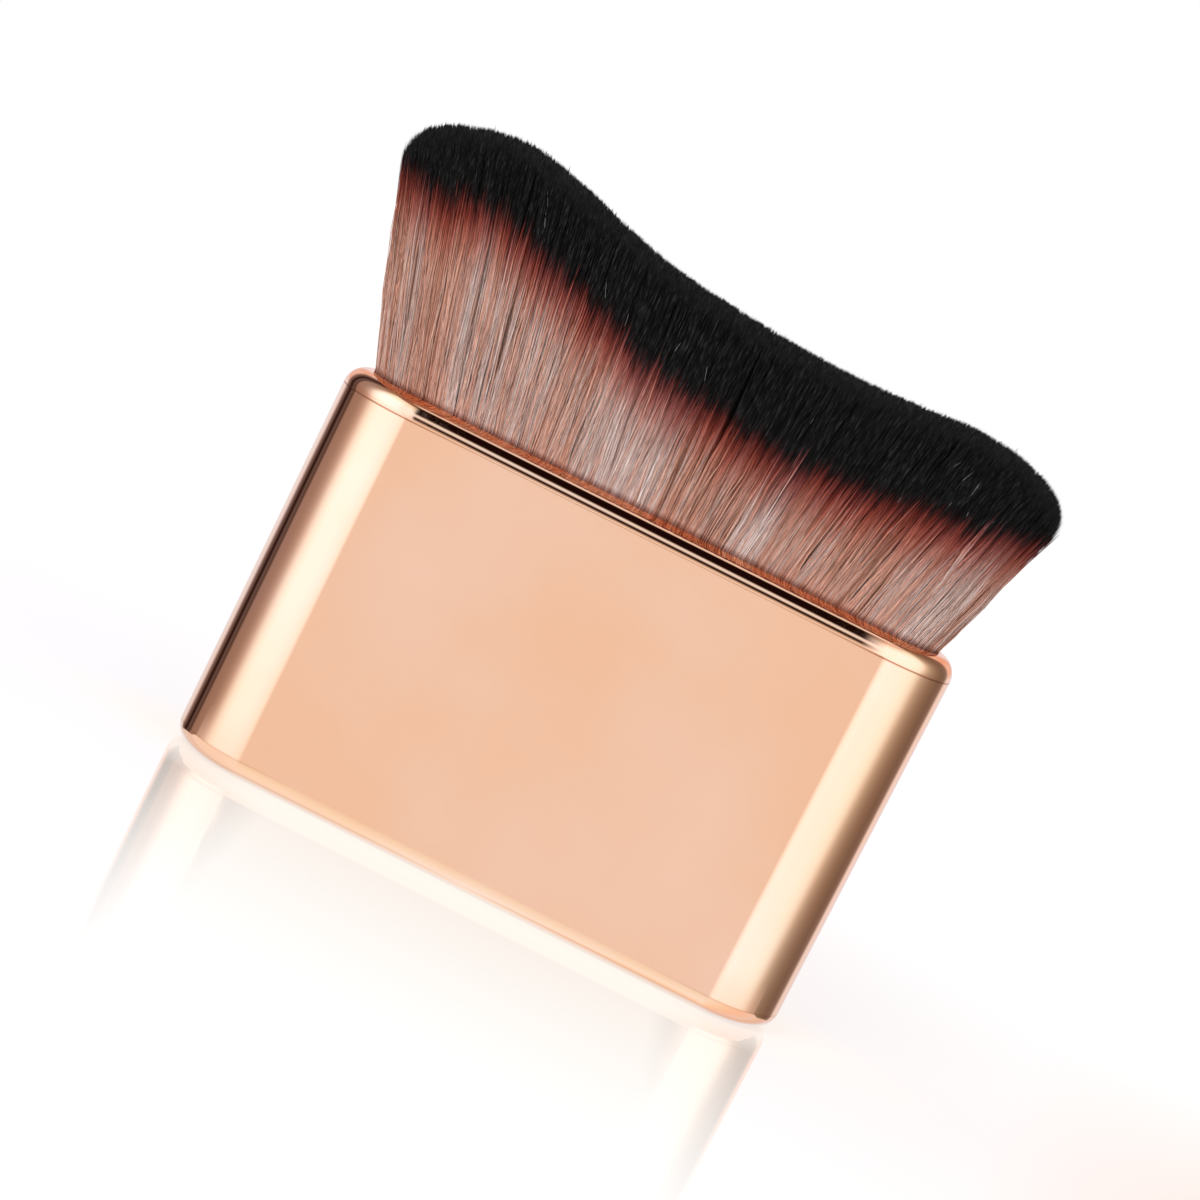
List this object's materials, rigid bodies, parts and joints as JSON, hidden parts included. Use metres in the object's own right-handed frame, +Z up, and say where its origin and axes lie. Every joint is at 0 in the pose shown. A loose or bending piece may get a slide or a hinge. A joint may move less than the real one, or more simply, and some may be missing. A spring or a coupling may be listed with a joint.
{
  "type": "angled makeup brush",
  "caption": "Wide, flat hand brush for body powder: a plated handle with rounded ends and rims holds a dense head of soft bristles with an angled wave cut.",
  "frame": {"origin": "centre of the flat face under the handle", "axes": "+Z up through the bristles, X along the handle's width with the taller lobe of the bristles at -X, Y along its depth"},
  "size_m": [0.0876, 0.0188, 0.08],
  "materials": {
    "rose_gold_plating": "mirror-bright rose gold electroplating on plastic",
    "core_plastic": "plain moulded, hidden",
    "ballast_steel": "cut bar, hidden",
    "ferrule_aluminium": "drawn sheet, hidden",
    "cured_resin": "clear amber, hidden",
    "synthetic_bristle": "soft nylon filament, mauve and copper at the root, red-brown above, black at the tip"
  },
  "bodies": {
    "root": {"handle_shell": "rose_gold_plating", "top_collar": "rose_gold_plating", "base_cap": "rose_gold_plating", "core_block": "core_plastic", "ballast_slug": "ballast_steel", "ferrule": "ferrule_aluminium", "resin_plug": "cured_resin", "bristle_row_1": "synthetic_bristle", "bristle_row_2": "synthetic_bristle", "bristle_row_3": "synthetic_bristle", "bristle_row_4": "synthetic_bristle", "bristle_row_5": "synthetic_bristle", "bristle_row_6": "synthetic_bristle", "bristle_row_7": "synthetic_bristle"}
  },
  "joints": []
}
